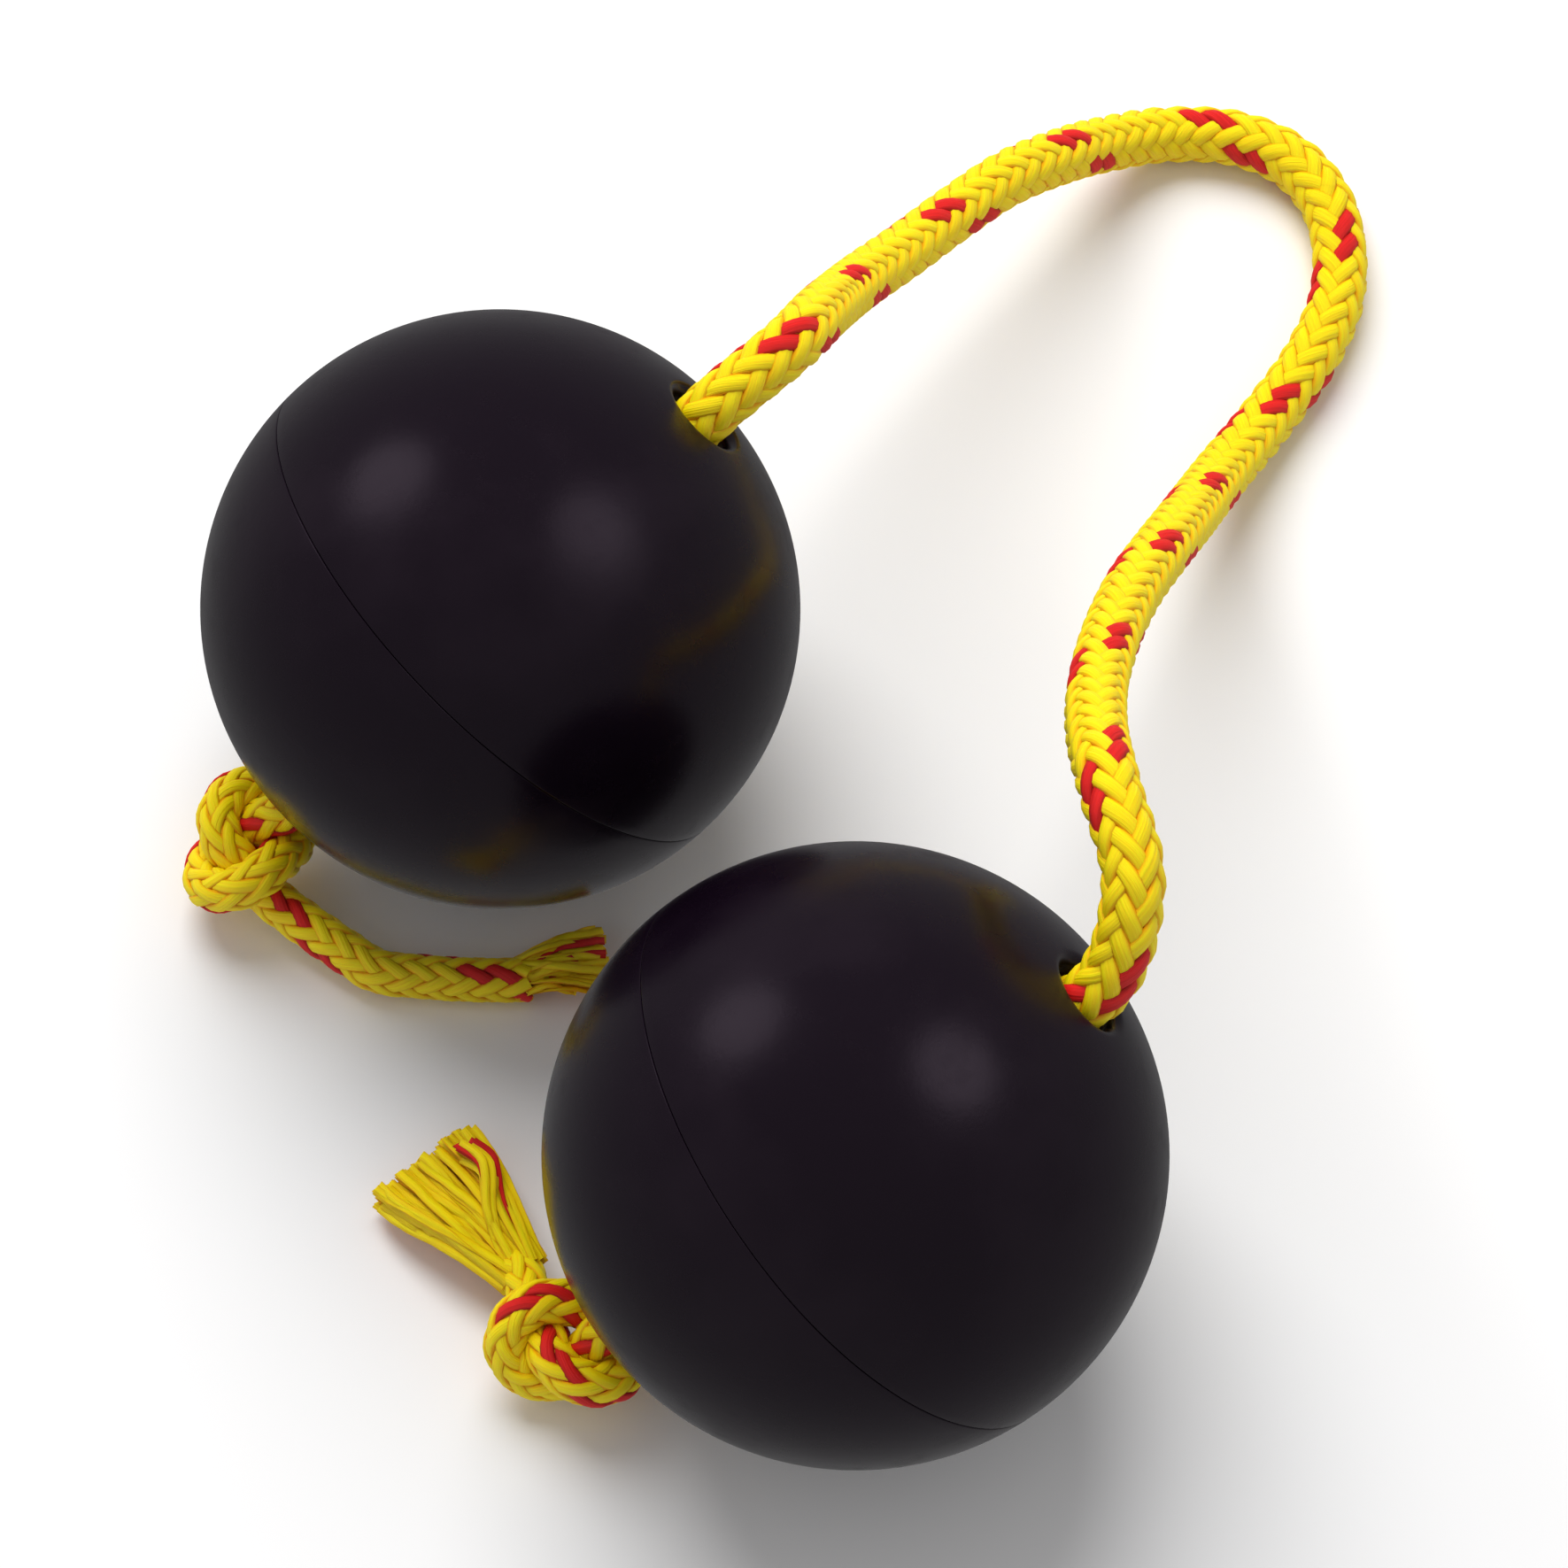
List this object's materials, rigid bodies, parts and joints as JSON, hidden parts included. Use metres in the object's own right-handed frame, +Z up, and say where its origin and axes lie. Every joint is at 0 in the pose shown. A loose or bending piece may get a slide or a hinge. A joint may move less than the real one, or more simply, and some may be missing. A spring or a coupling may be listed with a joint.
{
  "type": "cord shaker",
  "caption": "Hand shaker of hollow balls threaded on one braided cord, with a finger loop between them, stop knots outside and loose beads inside.",
  "frame": {"origin": "on the table, below the middle of the pair of balls", "axes": "+Z up from the table; +Y away from the viewer, toward the loop's bend; +X to the viewer's right, the side the loop lies on"},
  "size_m": [0.1028, 0.1401, 0.05],
  "materials": {
    "ball_shell": "smooth moulded gloss, near black with a trace of purple",
    "sleeve": "plain extruded natural plastic",
    "beads": "dull tumbled steel",
    "cord": "round braid, bright yellow with red flecks"
  },
  "bodies": {
    "finger_bend": {"loop_cord_bend": "cord"},
    "cord_side_a": {"loop_cord_a": "cord", "through_cord_a": "cord", "stop_knot_a": "cord", "cord_tail_a": "cord", "frayed_end_a": "cord"},
    "sleeve_a": {"centre_sleeve_a": "sleeve"},
    "ball_a": {"loop_half_shell_a": "ball_shell", "knot_half_shell_a": "ball_shell"},
    "beads_a": {"rattle_bead_a_1": "beads", "rattle_bead_a_2": "beads", "rattle_bead_a_3": "beads", "rattle_bead_a_4": "beads", "rattle_bead_a_5": "beads", "rattle_bead_a_6": "beads", "rattle_bead_a_7": "beads"},
    "cord_side_b": {"loop_cord_b": "cord", "through_cord_b": "cord", "stop_knot_b": "cord", "cord_tail_b": "cord", "frayed_end_b": "cord"},
    "sleeve_b": {"centre_sleeve_b": "sleeve"},
    "ball_b": {"loop_half_shell_b": "ball_shell", "knot_half_shell_b": "ball_shell"},
    "beads_b": {"rattle_bead_b_1": "beads", "rattle_bead_b_2": "beads", "rattle_bead_b_3": "beads", "rattle_bead_b_4": "beads", "rattle_bead_b_5": "beads", "rattle_bead_b_6": "beads", "rattle_bead_b_7": "beads"}
  },
  "joints": [
    {"name": "loop_hinge_a", "type": "hinge", "parent": "finger_bend", "child": "cord_side_a", "pos_m": [0.0445, 0.0876, 0.0027], "axis": [0, 0, -1], "range_deg": [-2, 65]},
    {"name": "ball_slide_a", "type": "slide", "parent": "cord_side_a", "child": "sleeve_a", "axis": [0.6942, 0.3992, 0.599], "range_m": [0, 0.002]},
    {"name": "ball_spin_a", "type": "hinge", "parent": "sleeve_a", "child": "ball_a", "pos_m": [-0.01465, 0.02497, 0.025], "axis": [0.6942, 0.3992, 0.599], "continuous": true},
    {"name": "bead_tumble_a", "type": "hinge", "parent": "ball_a", "child": "beads_a", "pos_m": [-0.01465, 0.02497, 0.025], "axis": [0.6942, 0.3992, 0.599], "continuous": true},
    {"name": "loop_hinge_b", "type": "hinge", "parent": "finger_bend", "child": "cord_side_b", "pos_m": [0.0565, 0.0642, 0.0027], "axis": [0, 0, 1], "range_deg": [-2, 65]},
    {"name": "ball_slide_b", "type": "slide", "parent": "cord_side_b", "child": "sleeve_b", "axis": [0.7377, 0.2832, 0.6129], "range_m": [0, 0.002]},
    {"name": "ball_spin_b", "type": "hinge", "parent": "sleeve_b", "child": "ball_b", "pos_m": [0.01465, -0.02497, 0.025], "axis": [0.7377, 0.2832, 0.6129], "continuous": true},
    {"name": "bead_tumble_b", "type": "hinge", "parent": "ball_b", "child": "beads_b", "pos_m": [0.01465, -0.02497, 0.025], "axis": [0.7377, 0.2832, 0.6129], "continuous": true}
  ]
}
